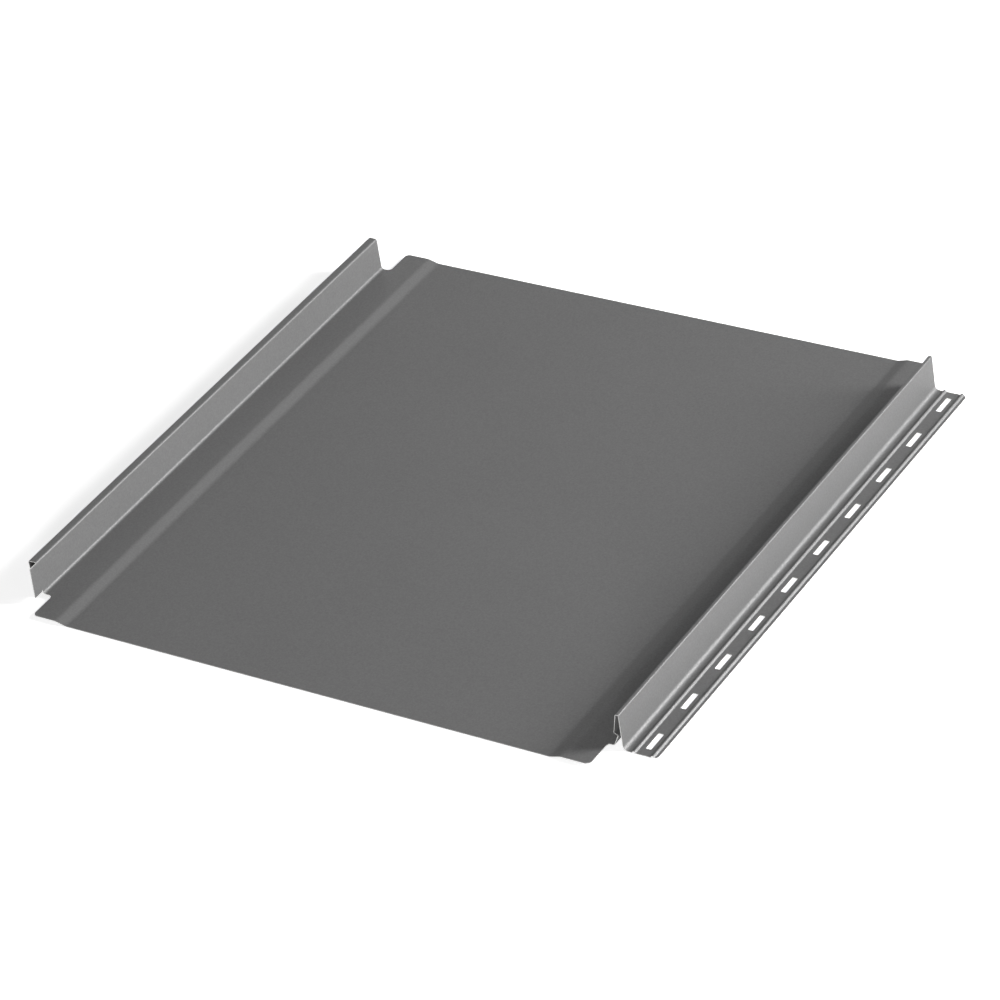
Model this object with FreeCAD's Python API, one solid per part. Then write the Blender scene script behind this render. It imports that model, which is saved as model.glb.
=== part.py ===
"""A standing seam roof panel, roll formed and notched from one sheet of coated steel.

X runs across the panel, from the cap that snaps over the neighbour's rib to the
fixing flange. Y runs up the roof, along the ribs. Z is up, off the roof deck.
The origin is at the middle of the panel's box, on its underside. All in millimetres.
"""

import FreeCAD
import Part
import math
import os

V = FreeCAD.Vector

# The sheet and its lengths along Y
SHEET = 0.6                # thickness of the coated sheet
PANEL_LENGTH = 536.0       # from one tongue's end to the other's
TONGUE_LENGTH = 26.0       # how far the pan runs on past the ribs at each end

# The pan, between two raised strips that the neighbour's flange lies under
PAN_FLAT = 431.85
STEP_RUN = 9.2             # width of the slope from a strip down to the pan
STEP_RISE = 2.6            # height of the strips above the pan
STEP_BEND = 12.0           # inside radius at the top and bottom of a slope
CAP_STRIP = 30.15          # width of the strip beside the cap's wall
RIB_STRIP = 29.7           # width of the strip beside the rib

# The cap: a wall up, across, and down to a lip with a hook inside the seam
CAP_HEIGHT = 32.4          # top of the cap above the panel's underside
CAP_WIDTH = 7.95           # from the wall's face to the lip's outer face
CAP_BEND = 1.0             # inside radius of the cap's two corners
WALL_FOOT_BEND = 2.4       # inside radius where the wall meets its strip
HOOK_REACH = 2.6           # how far the hook turns in from the lip's outer face
HOOK_RISE = 0.9            # how far the hook's tip rises
HOOK_BEND = 0.5            # inside radius between the lip and its hook

# The rib: a narrow fold with a ledge that the neighbour's hook catches under
SEAM_GAP = 0.1             # play between the rib and the cap that covers it, each way
RIB_FOOT_WIDTH = 7.65      # from the strip's end to the rib's outer face
RIB_TOP_WIDTH = 3.05
RIB_NECK_WIDTH = 3.15      # across the rib below its ledge
LEDGE_HEIGHT = 14.4        # outer corner of the ledge above the underside
LEDGE_DROP = 1.8           # how far the ledge falls to the neck
HOOK_DROP = 3.0            # from the ledge's corner down to the bottom of the hook
RIB_FOOT_BEND = 2.0        # inside radius where the strip turns up into the rib
RIB_BEND = 0.6             # inside radius of the ledge's two folds
RIB_TOP_BEND = 0.3         # inside radius of the rib's two top folds
FLANGE_BEND = 4.0          # inside radius where the rib meets the flange

# The fixing flange, with two stiffening beads and a row of slots between them
FLANGE_WIDTH = 27.6
BEAD_HEIGHT = 1.45
BEAD_SLOPE = 50.0          # degrees, of a bead's straight flanks
BEAD_CREST = 0.7           # inside radius of a bead's crest
BEAD_FOOT = 1.0            # inside radius of a bead's feet
BEAD_INSET = 4.0           # from the flange's edge to the outer bead's middle
BEAD_SPACING = 15.3        # between the two beads' middles
SLOT_WIDTH = 4.5
SLOT_LENGTH = 18.85
SLOT_CORNER = 0.5
SLOT_PITCH = 50.0
SLOT_INSET = 11.6          # from the flange's edge to the middle of the slots
SLOT_END = 17.0            # least distance from a slot's middle to the flange's end

# The notched corners at both ends
CAP_NOTCH = 8.45           # from the cap's wall to the tongue's edge
RIB_NOTCH = 5.25           # from the rib's foot to the tongue's edge
TONGUE_CORNER = 4.0        # radius of the tongue's own corners
UPPER_RIB_CORNER = 8.0     # radius of the upper tongue's corner on the rib's side
NOTCH_CORNER = 3.5         # radius inside a notch, beside the tongue
FLANGE_CORNER = 3.5

# The tab that the cap's wall keeps past the cap, at the lower end only
TAB_REACH = 9.9
TAB_TAPER = 1.5            # how much shorter the tab is at its top
TAB_LIFT = 2.4             # from the strip up to the tab's lower edge
TAB_DROP = 0.9             # from the cap's top down to the tab's upper edge
TAB_RELIEF = 1.0           # side of the small square cut out of the tab's root, at its lower edge

# Places across the panel, counted from the lip's outer face
WALL_X = CAP_WIDTH
CAP_STEP_X = WALL_X + CAP_STRIP
PAN_START_X = CAP_STEP_X + STEP_RUN
PAN_END_X = PAN_START_X + PAN_FLAT
RIB_STEP_X = PAN_END_X + STEP_RUN
RIB_FOOT_X = RIB_STEP_X + RIB_STRIP
RIB_OUTER_X = RIB_FOOT_X + RIB_FOOT_WIDTH
EDGE_X = RIB_OUTER_X + FLANGE_WIDTH
RIDGE_WIDTH = CAP_WIDTH - 2 * SHEET - 2 * SEAM_GAP

# Heights of the sheet's weather face above the underside
PAN_TOP = SHEET
STRIP_TOP = PAN_TOP + STEP_RISE
RIB_TOP = CAP_HEIGHT - SHEET - SEAM_GAP
HOOK_BOTTOM = LEDGE_HEIGHT - HOOK_DROP

# Places along the panel, counted from the lower tongue's end
RIB_START_Y = TONGUE_LENGTH
RIB_END_Y = PANEL_LENGTH - TONGUE_LENGTH

PAST = 5.0                 # how far a cutting shape runs past what it trims


def in_section(x, z):
    """A point of the cross-section, which is drawn at the lower end."""
    return V(x, 0, z)


def in_plan(x, y):
    """A point of an outline seen from above, drawn under the panel."""
    return V(x, y, -PAST)


def across_wall(y, z):
    """A point of an outline seen square to the cap's wall, just inside the cap."""
    return V(WALL_X - 2 * SHEET, y, z)


def arc_points(before, corner, after, radius):
    """Start, middle and end of the arc that rounds a corner, or the corner itself."""
    way_in = (corner - before).normalize()
    way_out = (after - corner).normalize()
    turn = way_in.getAngle(way_out)
    if radius == 0:
        return [corner]
    reach = radius * math.tan(turn / 2)
    inward = (way_out - way_in).normalize()
    depth = radius / math.cos(turn / 2) - radius
    return [corner - way_in * reach, corner + inward * depth, corner + way_out * reach]


def edges_through(stops):
    """Straight runs and arcs through a list of corners and arcs, in order."""
    edges = []
    for stop, following in zip(stops, stops[1:] + [None]):
        if len(stop) == 3:
            edges.append(Part.Arc(*stop).toShape())
        if following is not None:
            edges.append(Part.LineSegment(stop[-1], following[0]).toShape())
    return edges


def open_path(corners, radii):
    """Edges along a bent line. Its first and last points have no radius."""
    stops = [[corners[0]]]
    for i in range(1, len(corners) - 1):
        stops.append(arc_points(corners[i - 1], corners[i], corners[i + 1], radii[i]))
    return edges_through(stops + [[corners[-1]]])


def closed_face(corners, radii):
    """A flat face inside an outline with rounded corners."""
    count = len(corners)
    stops = []
    for i in range(count):
        stops.append(arc_points(corners[i - 1], corners[i], corners[(i + 1) % count], radii[i]))
    edges = edges_through(stops)
    edges.append(Part.LineSegment(stops[-1][-1], stops[0][0]).toShape())
    return Part.Face(Part.Wire(edges))


def lip_and_cap():
    """Bends of the weather face from the hook's tip over the cap and down the wall."""
    return [
        (HOOK_REACH, HOOK_BOTTOM + HOOK_RISE, 0),
        (0, HOOK_BOTTOM, HOOK_BEND),
        (0, CAP_HEIGHT, CAP_BEND),
        (WALL_X, CAP_HEIGHT, CAP_BEND),
        (WALL_X, STRIP_TOP, WALL_FOOT_BEND),
    ]


def pan():
    """Bends of the two slopes between the strips and the pan."""
    return [
        (CAP_STEP_X, STRIP_TOP, STEP_BEND),
        (PAN_START_X, PAN_TOP, STEP_BEND),
        (PAN_END_X, PAN_TOP, STEP_BEND),
        (RIB_STEP_X, STRIP_TOP, STEP_BEND),
    ]


def rib():
    """Bends of the rib, from the strip up past the ledge, over and down to the flange."""
    return [
        (RIB_FOOT_X, STRIP_TOP, RIB_FOOT_BEND),
        (RIB_OUTER_X - RIB_NECK_WIDTH, LEDGE_HEIGHT - LEDGE_DROP, RIB_BEND),
        (RIB_OUTER_X - RIDGE_WIDTH, LEDGE_HEIGHT, RIB_BEND),
        (RIB_OUTER_X - RIB_TOP_WIDTH, RIB_TOP, RIB_TOP_BEND),
        (RIB_OUTER_X, RIB_TOP, RIB_TOP_BEND),
        (RIB_OUTER_X, PAN_TOP, FLANGE_BEND),
    ]


def bead(middle):
    """Bends of one bead: a foot, the crest and the other foot."""
    slope = math.radians(BEAD_SLOPE)
    crest = BEAD_CREST + SHEET
    peak = BEAD_HEIGHT + crest * (1 / math.cos(slope) - 1)
    half = peak / math.tan(slope)
    return [
        (middle - half, PAN_TOP, BEAD_FOOT),
        (middle, PAN_TOP + peak, BEAD_CREST),
        (middle + half, PAN_TOP, BEAD_FOOT),
    ]


def flange():
    """Bends of the two beads, and the flange's edge before it is trimmed."""
    outer = EDGE_X - BEAD_INSET
    return bead(outer - BEAD_SPACING) + bead(outer) + [(EDGE_X + PAST, PAN_TOP, 0)]


def face_path(bends, depth):
    """Edges of the sheet's face that lies this deep below the weather face."""
    points = [in_section(x, z) for x, z, inside in bends]
    corners = []
    radii = []
    for i, point in enumerate(points):
        way_in = (point - points[max(i - 1, 0)] if i else points[1] - point).normalize()
        ahead = points[i + 1] - point if i + 1 < len(points) else point - points[i - 1]
        way_out = ahead.normalize()
        below_in = V(way_in.z, 0, -way_in.x)
        below_out = V(way_out.z, 0, -way_out.x)
        miter = (below_in + below_out) * (depth / (1 + below_in.dot(below_out)))
        turns_up = way_in.x * way_out.z - way_in.z * way_out.x > 0
        corners.append(point + miter)
        radii.append(bends[i][2] + (depth if turns_up else SHEET - depth))
    return open_path(corners, radii), corners[0], corners[-1]


def bent_sheet():
    """The whole section, run along the panel at full length."""
    bends = lip_and_cap() + pan() + rib() + flange()
    weather, hook_tip, edge_top = face_path(bends, 0)
    back, hook_back, edge_back = face_path(bends, SHEET)
    closing = [
        Part.LineSegment(hook_tip, hook_back).toShape(),
        Part.LineSegment(edge_top, edge_back).toShape(),
    ]
    outline = Part.Wire(Part.sortEdges(weather + back + closing)[0])
    return Part.Face(outline).extrude(V(0, PANEL_LENGTH, 0))


def end_outline(rib_corner):
    """Outline of the lower end, seen from above, with the radius of its corner on the rib's side."""
    left = WALL_X + CAP_NOTCH
    right = RIB_FOOT_X - RIB_NOTCH
    return [
        (-PAST, RIB_START_Y, 0),
        (left, RIB_START_Y, NOTCH_CORNER),
        (left, 0, TONGUE_CORNER),
        (right, 0, rib_corner),
        (right, RIB_START_Y, NOTCH_CORNER),
        (EDGE_X, RIB_START_Y, FLANGE_CORNER),
    ]


def plan_outline():
    """What the notching press leaves of the sheet, with its upper end mirrored from the lower."""
    upper = [(x, PANEL_LENGTH - y, r) for x, y, r in reversed(end_outline(UPPER_RIB_CORNER))]
    corners = end_outline(TONGUE_CORNER) + upper
    face = closed_face([in_plan(x, y) for x, y, r in corners], [r for x, y, r in corners])
    return face.extrude(V(0, 0, CAP_HEIGHT + 2 * PAST))


def wall_tab():
    """The stretch of the cap's wall that is left standing past the cap."""
    low = STRIP_TOP + TAB_LIFT
    high = CAP_HEIGHT - TAB_DROP
    root = RIB_START_Y - TAB_RELIEF
    corners = [
        (RIB_START_Y + PAST, low + TAB_RELIEF),
        (root, low + TAB_RELIEF),
        (root, low),
        (RIB_START_Y - TAB_REACH, low),
        (RIB_START_Y - TAB_REACH + TAB_TAPER, high),
        (RIB_START_Y + PAST, high),
    ]
    face = closed_face([across_wall(y, z) for y, z in corners], [0] * len(corners))
    return face.extrude(V(3 * SHEET, 0, 0))


def slots():
    """The row of fixing slots, centred along the flange."""
    room = RIB_END_Y - RIB_START_Y - 2 * SLOT_END
    spaces = max(0, math.floor(room / SLOT_PITCH + 0.001))
    first = PANEL_LENGTH / 2 - spaces * SLOT_PITCH / 2
    x = EDGE_X - SLOT_INSET
    across = SLOT_WIDTH / 2
    along = SLOT_LENGTH / 2
    cuts = []
    for i in range(spaces + 1):
        y = first + i * SLOT_PITCH
        outline = [(x - across, y - along), (x + across, y - along),
                   (x + across, y + along), (x - across, y + along)]
        face = closed_face([in_plan(*corner) for corner in outline], [SLOT_CORNER] * 4)
        cuts.append(face.extrude(V(0, 0, CAP_HEIGHT)))
    return cuts


def roof_panel():
    """The bent sheet, trimmed to its notched outline and slotted."""
    kept = plan_outline().fuse(wall_tab())
    panel = bent_sheet().common(kept).cut(Part.makeCompound(slots()))
    panel = panel.removeSplitter().Solids[0]
    panel.translate(V(-EDGE_X / 2, -PANEL_LENGTH / 2, 0))
    return panel


def main():
    os.makedirs("parts", exist_ok=True)
    panel = roof_panel()
    panel.exportStep("parts/roof_panel.step")
    box = panel.BoundBox
    print("roof_panel", "valid", panel.isValid(), "volume cm3", round(panel.Volume / 1000, 2))
    print("size", round(box.XLength, 3), round(box.YLength, 3), round(box.ZLength, 3))


main()
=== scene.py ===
"""A standing seam roof panel, modelled from one sheet: laid out, folded, thickened, notched and punched.

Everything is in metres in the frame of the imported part. X runs across the panel from
the cap to the fixing flange, Y along the ribs and Z up off the deck.
"""

import math

import bmesh
import bpy
from bpy.props import FloatProperty, FloatVectorProperty, IntProperty, PointerProperty
from mathutils import Matrix, Vector


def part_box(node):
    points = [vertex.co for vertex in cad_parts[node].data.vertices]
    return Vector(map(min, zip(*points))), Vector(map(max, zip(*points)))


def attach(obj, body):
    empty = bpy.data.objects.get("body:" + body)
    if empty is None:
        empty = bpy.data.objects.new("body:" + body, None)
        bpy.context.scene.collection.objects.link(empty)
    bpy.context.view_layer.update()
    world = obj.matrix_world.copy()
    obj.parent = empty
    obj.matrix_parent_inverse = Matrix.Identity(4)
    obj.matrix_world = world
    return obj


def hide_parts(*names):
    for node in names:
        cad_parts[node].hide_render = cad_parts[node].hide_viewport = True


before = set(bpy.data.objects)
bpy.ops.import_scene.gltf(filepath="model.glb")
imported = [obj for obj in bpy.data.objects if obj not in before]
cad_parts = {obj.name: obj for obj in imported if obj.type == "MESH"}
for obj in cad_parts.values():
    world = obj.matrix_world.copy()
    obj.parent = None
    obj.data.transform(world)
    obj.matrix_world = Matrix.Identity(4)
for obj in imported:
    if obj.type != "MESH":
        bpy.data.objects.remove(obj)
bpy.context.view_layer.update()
PANEL_LOW, PANEL_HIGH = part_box("roof_panel")

bl_info = {
    "name": "Standing seam roof panel",
    "version": (1, 0, 0),
    "blender": (4, 5, 0),
    "location": "3D View > Sidebar > Roof Panel",
    "description": "Folds, notches and punches a roof panel from one sheet of coated steel",
    "category": "Object",
}

MM = 0.001
TRIM = 5 * MM               # how far a cutting shape runs past what it trims
GUARD = 0.4 * MM            # narrow face beside each fold, which keeps the flats flat in shading
NEAR = GUARD / 4            # within this distance two places are the same
CORNER_STEPS = 10           # faces round a rounded corner of an outline
LEAST_FOLD_STEPS = 3
CUT_STEPS = 2               # faces across the softened edge of a cut
SHARP_CUT = math.radians(60)    # edges sharper than this are cuts, and are softened
SHARP_SHADE = math.radians(50)  # edges sharper than this stay sharp in shading
FLAT = 0.01                 # below this angle, in radians, two stretches of an outline are in line


def size(label, millimetres, words):
    """A length that a user can change, given in millimetres."""
    return FloatProperty(
        name=label, description=words, default=millimetres * MM,
        min=0.0, unit="LENGTH", subtype="DISTANCE", precision=5,
    )


def angle(label, degrees, words):
    """An angle that a user can change, given in degrees."""
    return FloatProperty(
        name=label, description=words, default=math.radians(degrees),
        unit="ROTATION", subtype="ANGLE",
    )


def colour(label, rgb, words):
    """A colour that a user can change."""
    return FloatVectorProperty(
        name=label, description=words, default=rgb, subtype="COLOR", size=3, min=0.0, max=1.0,
    )


class SheetSizes(bpy.types.PropertyGroup):
    """The sheet, the pan and the notched ends."""

    sheet: size("Sheet", 0.6, "Thickness of the coated sheet")
    tongue: size("Tongue", 26.0, "How far the pan runs on past the ribs at each end")
    step_run: size("Step run", 9.2, "Width of the slope from a strip down to the pan")
    step_rise: size("Step rise", 2.6, "Height of the strips above the pan")
    step_bend: size("Step bend", 12.0, "Inside radius at the top and bottom of a slope")
    cap_strip: size("Cap strip", 30.15, "Width of the strip beside the cap's wall")
    rib_strip: size("Rib strip", 29.7, "Width of the strip beside the rib")
    cap_notch: size("Cap notch", 8.45, "From the cap's wall to the tongue's edge")
    rib_notch: size("Rib notch", 5.25, "From the rib's foot to the tongue's edge")
    tongue_corner: size("Tongue corner", 4.0, "Radius of the tongue's own corners")
    upper_rib_corner: size("Upper rib corner", 8.0, "The upper tongue's corner on the rib's side")
    notch_corner: size("Notch corner", 3.5, "Radius inside a notch, beside the tongue")
    cut_rounding: size("Cut rounding", 0.08, "Width of the softened edge along every cut")
    fold_steps: IntProperty(
        name="Fold steps", description="Faces round a quarter turn of a fold", default=12, min=2,
    )


class CapSizes(bpy.types.PropertyGroup):
    """The cap that closes over the neighbour's rib, and its tab."""

    width: size("Width", 7.95, "From the wall's face to the lip's outer face")
    bend: size("Bend", 1.0, "Inside radius of the cap's two corners")
    foot_bend: size("Foot bend", 2.4, "Inside radius where the wall meets its strip")
    hook_reach: size("Hook reach", 2.6, "How far the hook turns in from the lip's outer face")
    hook_rise: size("Hook rise", 0.9, "How far the hook's tip rises")
    hook_bend: size("Hook bend", 0.5, "Inside radius between the lip and its hook")
    tab_reach: size("Tab reach", 9.9, "How far the wall's tab stands out past the cap")
    tab_taper: size("Tab taper", 1.5, "How much shorter the tab is at its top")
    tab_lift: size("Tab lift", 2.4, "From the strip up to the tab's lower edge")
    tab_drop: size("Tab drop", 0.9, "From the cap's top down to the tab's upper edge")
    tab_relief: size("Tab relief", 1.0, "Side of the small square cut out of the tab's root")


class RibSizes(bpy.types.PropertyGroup):
    """The ledged rib that the neighbour's cap hooks on to."""

    seam_gap: size("Seam gap", 0.1, "Play between the rib and the cap over it, each way")
    foot_width: size("Foot width", 7.65, "From the strip's end to the rib's outer face")
    top_width: size("Top width", 3.05, "Width of the fold at the rib's top")
    neck_width: size("Neck width", 3.15, "Across the rib below its ledge")
    ledge_height: size("Ledge height", 14.4, "Outer corner of the ledge above the underside")
    ledge_drop: size("Ledge drop", 1.8, "How far the ledge falls to the neck")
    hook_drop: size("Hook drop", 3.0, "From the ledge's corner down to the hook's bottom")
    foot_bend: size("Foot bend", 2.0, "Inside radius where the strip turns up")
    bend: size("Bend", 0.6, "Inside radius of the ledge's two folds")
    top_bend: size("Top bend", 0.3, "Inside radius of the two folds at the top")


class FlangeSizes(bpy.types.PropertyGroup):
    """The fixing flange with its beads and slots."""

    width: size("Width", 27.6, "From the rib's outer face to the flange's edge")
    bend: size("Bend", 4.0, "Inside radius where the rib meets the flange")
    corner: size("Corner", 3.5, "Radius of the flange's outer corners")
    bead_height: size("Bead height", 1.45, "How far a bead stands up")
    bead_slope: angle("Bead slope", 50.0, "Slope of a bead's flanks")
    bead_crest: size("Bead crest", 0.7, "Inside radius of a bead's crest")
    bead_foot: size("Bead foot", 1.0, "Inside radius of a bead's feet")
    bead_inset: size("Bead inset", 4.0, "From the edge to the outer bead's middle")
    bead_spacing: size("Bead spacing", 15.3, "Between the two beads' middles")
    slot_width: size("Slot width", 4.5, "Width of a slot")
    slot_length: size("Slot length", 18.85, "Length of a slot")
    slot_corner: size("Slot corner", 0.5, "Radius of a slot's corners")
    slot_pitch: size("Slot pitch", 50.0, "Between the middles of two slots")
    slot_inset: size("Slot inset", 11.6, "From the edge to the middle of the slots")
    slot_end: size("Slot end", 17.0, "Least distance from a slot's middle to the end")


class Finishes(bpy.types.PropertyGroup):
    """Colours of the panel and its stage."""

    paint: colour("Paint", (0.170, 0.170, 0.170), "Matte coil coating on both faces")
    cut_metal: colour("Cut metal", (0.68, 0.68, 0.67), "Bare steel and zinc along the cuts")
    floor: colour("Floor", (0.80, 0.80, 0.80), "Plain pale floor")


class RoofPanelSettings(bpy.types.PropertyGroup):
    """All that a user can change, in groups."""

    sheet: PointerProperty(type=SheetSizes, name="Sheet", description="Sheet, pan and ends")
    cap: PointerProperty(type=CapSizes, name="Cap", description="Cap over the neighbour's rib")
    rib: PointerProperty(type=RibSizes, name="Rib", description="Rib under the neighbour's cap")
    flange: PointerProperty(type=FlangeSizes, name="Flange", description="Fixing flange")
    finishes: PointerProperty(type=Finishes, name="Finishes", description="Colours")


def settings():
    """The values that the sidebar shows."""
    return bpy.context.scene.roof_panel


def pick(piece):
    """Makes a piece the only selected object and the active one."""
    bpy.ops.object.select_all(action="DESELECT")
    piece.select_set(True)
    bpy.context.view_layer.objects.active = piece


def edit(piece):
    """Opens a piece for editing, with nothing selected in it."""
    pick(piece)
    bpy.ops.object.mode_set(mode="EDIT")
    bpy.ops.mesh.select_all(action="DESELECT")


def done_editing():
    """Goes back to object mode, where modifiers can be applied."""
    bpy.ops.object.mode_set(mode="OBJECT")


def select_edges(piece, wanted):
    """Selects the edges, and only those, that the test names."""
    bpy.ops.mesh.select_mode(type="EDGE")
    mesh = bmesh.from_edit_mesh(piece.data)
    for edge in mesh.edges:
        if wanted(edge):
            edge.select_set(True)
    bmesh.update_edit_mesh(piece.data)


def apply(piece, kind, **values):
    """Adds a modifier, sets it and applies it."""
    pick(piece)
    modifier = piece.modifiers.new(kind.title(), kind)
    for name, value in values.items():
        setattr(modifier, name, value)
    bpy.ops.object.modifier_apply(modifier=modifier.name)


def plane(name, low, high, z):
    """A flat rectangle between two corners, added as a primitive at its size and place."""
    bpy.ops.object.select_all(action="DESELECT")
    middle = ((low[0] + high[0]) / 2, (low[1] + high[1]) / 2, z)
    bpy.ops.mesh.primitive_plane_add(size=1, location=middle)
    piece = bpy.context.object
    piece.name = name
    piece.scale = (high[0] - low[0], high[1] - low[1], 1)
    bpy.ops.object.transform_apply(location=True, rotation=True, scale=True)
    return piece


class Places:
    """Where the folds, ends and cuts lie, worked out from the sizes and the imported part's box."""

    def __init__(self, s):
        sheet, cap, rib, flange = s.sheet, s.cap, s.rib, s.flange
        self.low_y = PANEL_LOW.y
        self.high_y = PANEL_HIGH.y
        self.rib_start_y = self.low_y + sheet.tongue
        self.rib_end_y = self.high_y - sheet.tongue
        self.lip_x = PANEL_LOW.x
        self.edge_x = PANEL_HIGH.x
        self.wall_x = self.lip_x + cap.width
        self.cap_step_x = self.wall_x + sheet.cap_strip
        self.pan_start_x = self.cap_step_x + sheet.step_run
        self.rib_outer_x = self.edge_x - flange.width
        self.rib_foot_x = self.rib_outer_x - rib.foot_width
        self.rib_step_x = self.rib_foot_x - sheet.rib_strip
        self.pan_end_x = self.rib_step_x - sheet.step_run
        self.top = PANEL_HIGH.z
        self.pan_top = sheet.sheet
        self.strip_top = self.pan_top + sheet.step_rise
        self.rib_top = self.top - sheet.sheet - rib.seam_gap
        self.ridge_width = cap.width - 2 * sheet.sheet - 2 * rib.seam_gap
        self.hook_bottom = rib.ledge_height - rib.hook_drop


def cap_folds(s, at):
    """Folds from the pan out to the hook: place, height and inside radius of each."""
    return [
        (at.pan_start_x, at.pan_top, s.sheet.step_bend),
        (at.cap_step_x, at.strip_top, s.sheet.step_bend),
        (at.wall_x, at.strip_top, s.cap.foot_bend),
        (at.wall_x, at.top, s.cap.bend),
        (at.lip_x, at.top, s.cap.bend),
        (at.lip_x, at.hook_bottom, s.cap.hook_bend),
        (at.lip_x + s.cap.hook_reach, at.hook_bottom + s.cap.hook_rise, 0),
    ]


def bead_folds(s, at, middle):
    """Folds of one bead: a foot, the crest and the other foot."""
    flange = s.flange
    crest = flange.bead_crest + s.sheet.sheet
    peak = flange.bead_height + crest * (1 / math.cos(flange.bead_slope) - 1)
    half = peak / math.tan(flange.bead_slope)
    return [
        (middle - half, at.pan_top, flange.bead_foot),
        (middle, at.pan_top + peak, flange.bead_crest),
        (middle + half, at.pan_top, flange.bead_foot),
    ]


def rib_folds(s, at):
    """Folds from the pan over the rib and out to the flange's edge."""
    outer_bead = at.edge_x - s.flange.bead_inset
    folds = [
        (at.pan_end_x, at.pan_top, s.sheet.step_bend),
        (at.rib_step_x, at.strip_top, s.sheet.step_bend),
        (at.rib_foot_x, at.strip_top, s.rib.foot_bend),
        (at.rib_outer_x - s.rib.neck_width, s.rib.ledge_height - s.rib.ledge_drop, s.rib.bend),
        (at.rib_outer_x - at.ridge_width, s.rib.ledge_height, s.rib.bend),
        (at.rib_outer_x - s.rib.top_width, at.rib_top, s.rib.top_bend),
        (at.rib_outer_x, at.rib_top, s.rib.top_bend),
        (at.rib_outer_x, at.pan_top, s.flange.bend),
    ]
    folds += bead_folds(s, at, outer_bead - s.flange.bead_spacing)
    folds += bead_folds(s, at, outer_bead)
    return folds + [(at.edge_x + TRIM, at.pan_top, 0)]


def pull(direction, distance):
    """Extrudes the selected edge straight on, with a narrow face at each end of a long run."""
    parts = [distance]
    if distance > 4 * GUARD:
        parts = [GUARD, distance - 2 * GUARD, GUARD]
    for part in parts:
        step = direction * part
        bpy.ops.mesh.extrude_region_move(TRANSFORM_OT_translate={"value": (step.x, 0, step.y)})


def turn(centre, way, steps):
    """Spins the selected edge round a fold. A positive way turns from +X towards +Z."""
    bpy.ops.mesh.spin(
        steps=steps, angle=abs(way), use_auto_merge=False,
        center=(centre.x, 0, centre.y), axis=(0, math.copysign(1, way), 0),
    )


def fold_out(s, start, folds):
    """Walks the selected edge through straight runs and folds, as a roll former bends a strip."""
    here = start
    side = math.copysign(1, folds[0][0] - start.x)
    spots = [start] + [Vector((x, z)) for x, z, inside in folds]
    for i, (x, z, inside) in enumerate(folds):
        heading = (spots[i + 1] - spots[i]).normalized()
        if i + 1 == len(folds):
            pull(heading, (spots[i + 1] - here).length)
            return
        ahead = (spots[i + 2] - spots[i + 1]).normalized()
        way = math.atan2(heading.x * ahead.y - heading.y * ahead.x, heading.dot(ahead))
        weather_inside = way * side > 0
        radius = inside if weather_inside else inside + s.sheet.sheet
        reach = radius * math.tan(abs(way) / 2)
        begin = spots[i + 1] - heading * reach
        pull(heading, (begin - here).length)
        left = Vector((-heading.y, heading.x))
        centre = begin + left * math.copysign(radius, way)
        steps = round(s.sheet.fold_steps * abs(way) / (math.pi / 2))
        turn(centre, way, max(LEAST_FOLD_STEPS, steps))
        here = spots[i + 1] + ahead * reach


def folded_sheet(s, at):
    """The weather face, from the hook's tip over the cap, pan and rib to the flange's edge."""
    low = (at.pan_start_x + TRIM, at.low_y - TRIM)
    high = (at.pan_end_x - TRIM, at.high_y + TRIM)
    piece = plane("roof_panel_sheet", low, high, at.pan_top)
    for x, folds in ((low[0], cap_folds(s, at)), (high[0], rib_folds(s, at))):
        edit(piece)
        select_edges(piece, lambda e: all(abs(v.co.x - x) < NEAR for v in e.verts))
        fold_out(s, Vector((x, at.pan_top)), folds)
        done_editing()
    return piece


def thicken(s, piece):
    """Gives the folded face its thickness, below and inside it."""
    apply(
        piece, "SOLIDIFY", thickness=s.sheet.sheet, offset=-1,
        use_even_offset=True, use_quality_normals=True, use_rim=True, material_offset_rim=1,
    )


def round_corner(piece, x, y, radius):
    """Rounds the corner of an outline that stands at this place."""
    edit(piece)
    bpy.ops.mesh.select_mode(type="VERT")
    mesh = bmesh.from_edit_mesh(piece.data)
    for vertex in mesh.verts:
        if abs(vertex.co.x - x) < NEAR and abs(vertex.co.y - y) < NEAR:
            vertex.select_set(True)
    bmesh.update_edit_mesh(piece.data)
    bpy.ops.mesh.bevel(affect="VERTICES", offset=radius, segments=CORNER_STEPS, profile=0.5)
    done_editing()


def raise_outline(piece, height):
    """Turns a flat outline into a solid block of this height."""
    edit(piece)
    bpy.ops.mesh.select_all(action="SELECT")
    bpy.ops.mesh.extrude_region_move(TRANSFORM_OT_translate={"value": (0, 0, height)})
    bpy.ops.mesh.select_all(action="SELECT")
    bpy.ops.mesh.normals_make_consistent(inside=False)
    done_editing()


def extrude_tongue(piece, y, reach):
    """Pulls the middle stretch of an end edge out to the tongue's end."""
    edit(piece)
    select_edges(piece, lambda e: all(abs(v.co.y - y) < NEAR for v in e.verts)
                 and abs(sum(v.co.x for v in e.verts) / 2) < PANEL_HIGH.x / 2)
    bpy.ops.mesh.extrude_region_move(TRANSFORM_OT_translate={"value": (0, reach, 0)})
    done_editing()


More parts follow.
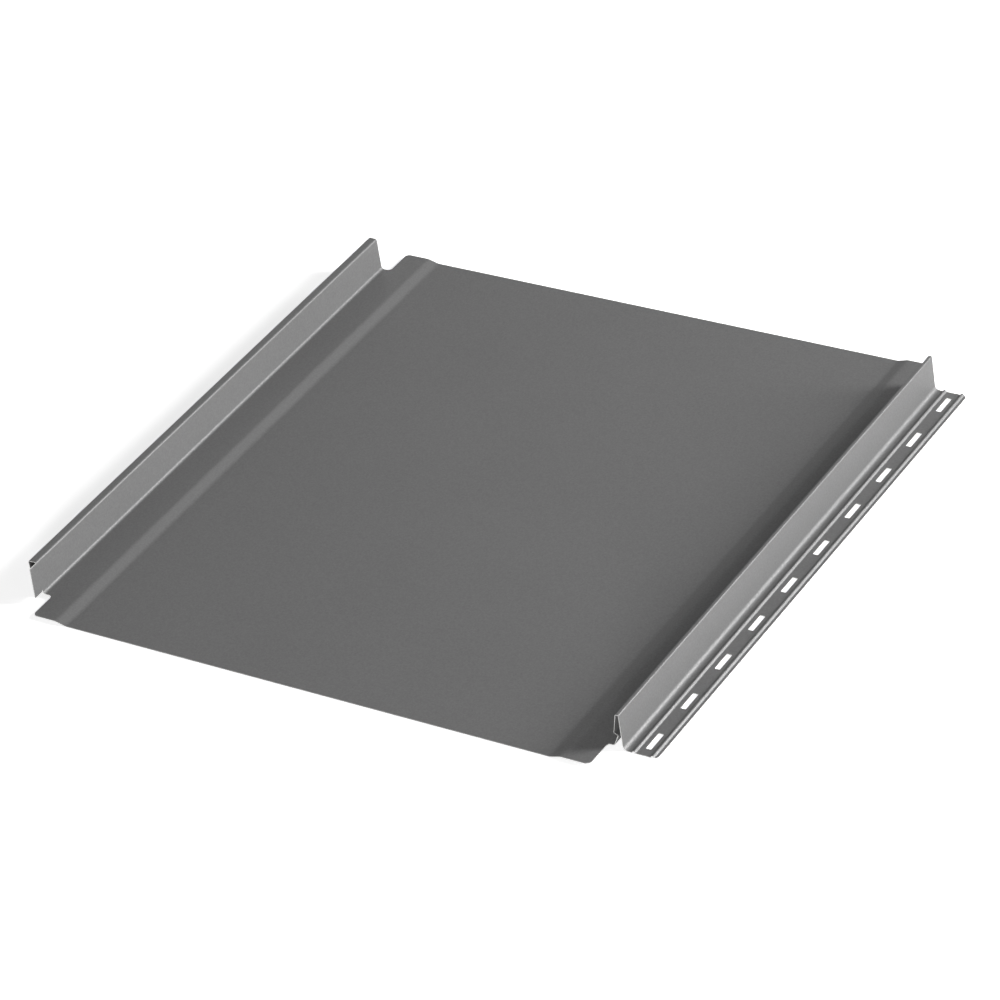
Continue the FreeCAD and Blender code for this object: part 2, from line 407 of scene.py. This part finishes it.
def notched_blank(s, at):
    """What the notching press leaves of the sheet, as a tall block to keep."""
    left = at.wall_x + s.sheet.cap_notch
    right = at.rib_foot_x - s.sheet.rib_notch
    low = (at.lip_x - TRIM, at.rib_start_y)
    high = (at.edge_x, at.rib_end_y)
    blank = plane("notched_blank", low, high, -TRIM)
    edit(blank)
    for x in (left, right):
        bpy.ops.mesh.select_all(action="SELECT")
        bpy.ops.mesh.bisect(plane_co=(x, 0, 0), plane_no=(1, 0, 0))
    done_editing()
    extrude_tongue(blank, low[1], -s.sheet.tongue)
    extrude_tongue(blank, high[1], s.sheet.tongue)
    edit(blank)
    bpy.ops.mesh.select_mode(type="FACE")
    bpy.ops.mesh.select_all(action="SELECT")
    bpy.ops.mesh.dissolve_limited(angle_limit=FLAT)
    done_editing()
    plain, wide = s.sheet.tongue_corner, s.sheet.upper_rib_corner
    for y, end_y, rib_corner in ((low[1], at.low_y, plain), (high[1], at.high_y, wide)):
        for x, end_corner in ((left, plain), (right, rib_corner)):
            round_corner(blank, x, y, s.sheet.notch_corner)
            round_corner(blank, x, end_y, end_corner)
        round_corner(blank, at.edge_x, y, s.flange.corner)
    raise_outline(blank, at.top + 2 * TRIM)
    return blank


def wall_tab(s, at):
    """The stretch of the cap's wall that is left standing past the cap, as a block to keep."""
    low_z = at.strip_top + s.cap.tab_lift
    high_z = at.top - s.cap.tab_drop
    low = (at.wall_x - 2 * s.sheet.sheet, at.rib_start_y - s.cap.tab_reach)
    high = (at.wall_x + s.sheet.sheet, at.rib_start_y + TRIM)
    tab = plane("wall_tab", low, high, low_z)
    raise_outline(tab, high_z - low_z)
    edit(tab)
    select_edges(tab, lambda e: all(v.co.z > high_z - NEAR and v.co.y < low[1] + NEAR
                                    for v in e.verts))
    bpy.ops.transform.translate(value=(0, s.cap.tab_taper, 0))
    done_editing()
    root = (at.wall_x - 3 * s.sheet.sheet, at.rib_start_y - s.cap.tab_relief)
    end = (at.wall_x + 2 * s.sheet.sheet, at.rib_start_y + 2 * TRIM)
    relief = plane("tab_relief", root, end, low_z - TRIM)
    raise_outline(relief, TRIM + s.cap.tab_relief)
    cut_with(tab, relief, "DIFFERENCE")
    return tab


def slot_punches(s, at):
    """One punch with rounded corners, repeated down the flange at the slots' pitch."""
    x = at.edge_x - s.flange.slot_inset
    room = at.rib_end_y - at.rib_start_y - 2 * s.flange.slot_end
    spaces = math.floor((room + NEAR) / s.flange.slot_pitch)
    first = (at.low_y + at.high_y - spaces * s.flange.slot_pitch) / 2
    across = s.flange.slot_width / 2
    along = s.flange.slot_length / 2
    punch = plane("slot_punches", (x - across, first - along), (x + across, first + along), -TRIM)
    for dx in (-across, across):
        for dy in (-along, along):
            round_corner(punch, x + dx, first + dy, s.flange.slot_corner)
    raise_outline(punch, at.top)
    apply(
        punch, "ARRAY", count=spaces + 1, use_relative_offset=False,
        use_constant_offset=True, constant_offset_displace=(0, s.flange.slot_pitch, 0),
    )
    return punch


def cut_with(piece, tool, operation):
    """Trims a piece with a block, whose finish the cut faces take, and throws the block away."""
    apply(
        piece, "BOOLEAN", operation=operation, solver="EXACT", object=tool,
        material_mode="TRANSFER",
    )
    bpy.data.objects.remove(tool)


def soften_cuts(s, piece):
    """Rounds every sheared edge a little, as the press leaves it, and keeps the flats flat."""
    apply(
        piece, "BEVEL", width=s.sheet.cut_rounding, segments=CUT_STEPS,
        limit_method="ANGLE", angle_limit=SHARP_CUT, use_clamp_overlap=True,
    )


def smooth(piece):
    """Smooth folds and flat flats."""
    pick(piece)
    bpy.ops.object.shade_smooth_by_angle(angle=SHARP_SHADE)
    apply(piece, "WEIGHTED_NORMAL", mode="FACE_AREA", weight=100, keep_sharp=True)


def finish(piece, *materials):
    """Gives a piece these materials, in this order, and hands it back."""
    piece.data.materials.clear()
    for material in materials:
        piece.data.materials.append(material)
    return piece


def nodes_of(owner):
    """Empties the node tree of a material or world, and gives a function that adds a node to it."""
    owner.use_nodes = True
    tree = owner.node_tree
    tree.nodes.clear()

    def add(kind, inputs=None, **values):
        node = tree.nodes.new(kind)
        for key, value in values.items():
            setattr(node, key, value)
        for key, value in (inputs or {}).items():
            if isinstance(value, bpy.types.NodeSocket):
                tree.links.new(value, node.inputs[key])
            else:
                node.inputs[key].default_value = value
        return node

    return add


def larger(add, first, second):
    """The larger of two outputs."""
    return add("ShaderNodeMath", {0: first, 1: second}, operation="MAXIMUM").outputs[0]


def noise(add, per_metre, detail):
    """Noise fixed to the piece, with about this many spots to the metre."""
    place = add("ShaderNodeTexCoord").outputs["Object"]
    spots = add("ShaderNodeTexNoise", {"Vector": place, "Scale": per_metre, "Detail": detail})
    return spots.outputs["Fac"]


def tone_between(add, base, low, high, factor):
    """A colour that wanders between two levels of itself."""
    darker = [c * low for c in base] + [1.0]
    lighter = [c * high for c in base] + [1.0]
    mix = add("ShaderNodeMix", {"Factor": factor, "A": darker, "B": lighter}, data_type="RGBA")
    return mix.outputs["Result"]


GRAIN_PER_METRE = 1100.0    # bump and gloss of the coating
SPECKS_PER_METRE = 750.0    # lighter and darker specks
DRIFT_PER_METRE = 9.0       # slow change of tone over the sheet
DRIFT_SHARE = 0.15
GRAIN_HEIGHT = 0.08 * MM


def coated_steel_paint(s):
    """Matte coil coating: an even dark grey with a fine grain that breaks up its soft gloss."""
    material = bpy.data.materials.new("coated_steel_paint")
    add = nodes_of(material)
    grain = noise(add, GRAIN_PER_METRE, 2.0)
    specks = noise(add, SPECKS_PER_METRE, 2.0)
    drift = noise(add, DRIFT_PER_METRE, 3.0)
    drift = add("ShaderNodeMath", {0: drift, 1: DRIFT_SHARE}, operation="MULTIPLY")
    both = add("ShaderNodeMath", {0: specks, 1: 1 - DRIFT_SHARE, 2: drift.outputs[0]},
               operation="MULTIPLY_ADD")
    rough = add("ShaderNodeMapRange", {"Value": grain, "To Min": 0.43, "To Max": 0.53})
    bump = add("ShaderNodeBump", {"Height": grain, "Strength": 0.35, "Distance": GRAIN_HEIGHT})
    shader = add("ShaderNodeBsdfPrincipled", {
        "Base Color": tone_between(add, s.finishes.paint, 0.76, 1.24, both.outputs[0]),
        "Roughness": rough.outputs["Result"],
        "Normal": bump.outputs["Normal"],
        "Metallic": 0.38,
        "IOR": 1.5,
        "Specular IOR Level": 0.0,
    })
    add("ShaderNodeOutputMaterial", {"Surface": shader.outputs["BSDF"]})
    return material


STREAKS_PER_METRE = 2500.0


def cut_metal(s):
    """Bare sheared steel and zinc, with fine light and dark spots along the cut."""
    material = bpy.data.materials.new("cut_metal")
    add = nodes_of(material)
    streaks = noise(add, STREAKS_PER_METRE, 2.0)
    shader = add("ShaderNodeBsdfPrincipled", {
        "Base Color": tone_between(add, s.finishes.cut_metal, 0.85, 1.0, streaks),
        "Roughness": 0.4,
        "Metallic": 1.0,
    })
    add("ShaderNodeOutputMaterial", {"Surface": shader.outputs["BSDF"]})
    return material


WHITE = (1, 1, 1, 1)
FLOOR_GLOW = 0.8            # brings the lit floor up to white where the camera sees it
MIRRORED_GLOW = 0.36        # the same where gloss or glass mirrors it


def pale_floor(s):
    """Plain floor that shows white to the camera and in gloss, and still takes the shadow."""
    material = bpy.data.materials.new("pale_floor")
    add = nodes_of(material)
    matte = add("ShaderNodeBsdfDiffuse", {"Color": list(s.finishes.floor) + [1.0]})
    path = add("ShaderNodeLightPath").outputs
    mirrored = larger(add, path["Is Glossy Ray"], path["Is Transmission Ray"])
    seen = add("ShaderNodeMath", {0: path["Is Camera Ray"], 1: FLOOR_GLOW}, operation="MULTIPLY")
    glow = add("ShaderNodeMath", {0: mirrored, 1: MIRRORED_GLOW, 2: seen.outputs[0]},
               operation="MULTIPLY_ADD")
    white = add("ShaderNodeEmission", {"Color": WHITE, "Strength": glow.outputs[0]})
    shader = add("ShaderNodeAddShader", {0: matte.outputs[0], 1: white.outputs[0]})
    add("ShaderNodeOutputMaterial", {"Surface": shader.outputs[0]})
    return material


class ROOFPANEL_OT_form_sheet(bpy.types.Operator):
    """Fold, thicken, notch and punch the panel"""

    bl_idname = "roof_panel.form_sheet"
    bl_label = "Form the sheet"

    def execute(self, context):
        s = settings()
        at = Places(s)
        paint = coated_steel_paint(s)
        metal = cut_metal(s)
        piece = folded_sheet(s, at)
        finish(piece, paint, metal)
        thicken(s, piece)
        blank = finish(notched_blank(s, at), metal)
        cut_with(blank, finish(wall_tab(s, at), metal), "UNION")
        cut_with(piece, blank, "INTERSECT")
        cut_with(piece, finish(slot_punches(s, at), metal), "DIFFERENCE")
        soften_cuts(s, piece)
        smooth(piece)
        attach(piece, "root")
        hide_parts("roof_panel")
        return {"FINISHED"}


CAMERA_PLACE = Vector((1.8218, -2.4189, 2.0684))
CAMERA_TARGET = Vector((0.00098, -0.00797, 0.0009))
CAMERA_ROLL = math.radians(-9.667)
CAMERA_LENS = 171.227
CAMERA_REACH = 20           # the camera sees this far, in metres
SOFTBOX_WIDTH = 0.25        # a lamp's width for each metre of its distance
SOFTBOX_HEIGHT = 0.21
SOFTBOXES = (
    # name, degrees from +X towards +Y, degrees above the floor, distance, power at one metre
    ("rim_softbox", -90, 6, 2.5, 1.6),
    ("front_softbox", -60, 4, 6.0, 11.0),
    ("side_softbox", -30, 24, 2.5, 0.4),
    ("key_low_softbox", 24, 8, 3.0, 3.0),
    ("key_softbox", 24, 20, 3.0, 4.4),
    ("key_high_softbox", 24, 32, 3.0, 7.9),
    ("back_low_softbox", 60, 8, 6.0, 0.3),
    ("back_softbox", 60, 21, 6.0, 2.3),
)
FLOOR_REACH = 6.0           # from the middle to each edge of the floor
FLOOR_LEVEL = -0.2 * MM     # just clear of the panel's underside


def aim(thing, target, roll=0.0):
    """Points a camera or a lamp at a target, then rolls it about its own line of sight."""
    look = (target - thing.location).to_track_quat("-Z", "Y").to_matrix()
    thing.rotation_euler = (look @ Matrix.Rotation(roll, 3, "Z")).to_euler()


def add_camera():
    """The camera, high to the right of the panel's lower end."""
    data = bpy.data.cameras.new("camera")
    data.lens = CAMERA_LENS
    data.clip_end = CAMERA_REACH
    camera = bpy.data.objects.new("camera", data)
    bpy.context.scene.collection.objects.link(camera)
    camera.location = CAMERA_PLACE
    aim(camera, CAMERA_TARGET, CAMERA_ROLL)
    bpy.context.scene.camera = camera


def add_softbox(name, azimuth, elevation, distance, power):
    """A soft lamp that looks at the panel from this side, height and distance."""
    data = bpy.data.lights.new(name, "AREA")
    data.shape = "RECTANGLE"
    data.size = SOFTBOX_WIDTH * distance
    data.size_y = SOFTBOX_HEIGHT * distance
    data.energy = power * distance ** 2
    lamp = bpy.data.objects.new(name, data)
    bpy.context.scene.collection.objects.link(lamp)
    flat = math.cos(math.radians(elevation))
    lamp.location = distance * Vector((
        flat * math.cos(math.radians(azimuth)),
        flat * math.sin(math.radians(azimuth)),
        math.sin(math.radians(elevation)),
    ))
    aim(lamp, Vector((0, 0, 0)))


def add_world():
    """White surroundings for the camera, gloss and glass, which light nothing else."""
    world = bpy.data.worlds.new("studio")
    add = nodes_of(world)
    path = add("ShaderNodeLightPath").outputs
    seen = larger(add, path["Is Camera Ray"], path["Is Glossy Ray"])
    seen = larger(add, seen, path["Is Transmission Ray"])
    background = add("ShaderNodeBackground", {"Color": WHITE, "Strength": seen})
    add("ShaderNodeOutputWorld", {"Surface": background.outputs[0]})
    bpy.context.scene.world = world


class ROOFPANEL_OT_set_stage(bpy.types.Operator):
    """Set the floor, the soft lamps and the camera"""

    bl_idname = "roof_panel.set_stage"
    bl_label = "Set the stage"

    def execute(self, context):
        s = settings()
        corner = (FLOOR_REACH, FLOOR_REACH)
        floor = plane("floor", (-FLOOR_REACH, -FLOOR_REACH), corner, FLOOR_LEVEL)
        finish(floor, pale_floor(s))
        for softbox in SOFTBOXES:
            add_softbox(*softbox)
        add_world()
        add_camera()
        context.scene.view_settings.view_transform = "Standard"
        return {"FINISHED"}


class ROOFPANEL_PT_sidebar(bpy.types.Panel):
    """The roof panel's sizes, colours and steps"""

    bl_label = "Roof Panel"
    bl_idname = "ROOFPANEL_PT_sidebar"
    bl_space_type = "VIEW_3D"
    bl_region_type = "UI"
    bl_category = "Roof Panel"

    def draw(self, context):
        s = context.scene.roof_panel
        for group in (s.sheet, s.cap, s.rib, s.flange, s.finishes):
            box = self.layout.box()
            for name in group.bl_rna.properties.keys():
                if name not in ("rna_type", "name"):
                    box.prop(group, name)
        self.layout.operator("roof_panel.form_sheet")
        self.layout.operator("roof_panel.set_stage")


CLASSES = (
    SheetSizes,
    CapSizes,
    RibSizes,
    FlangeSizes,
    Finishes,
    RoofPanelSettings,
    ROOFPANEL_OT_form_sheet,
    ROOFPANEL_OT_set_stage,
    ROOFPANEL_PT_sidebar,
)


def register():
    for item in CLASSES:
        bpy.utils.register_class(item)
    bpy.types.Scene.roof_panel = PointerProperty(type=RoofPanelSettings)


def unregister():
    del bpy.types.Scene.roof_panel
    for item in reversed(CLASSES):
        bpy.utils.unregister_class(item)


def main():
    register()
    bpy.ops.roof_panel.form_sheet()
    bpy.ops.roof_panel.set_stage()
    bpy.context.view_layer.update()


if __name__ == "__main__":
    main()
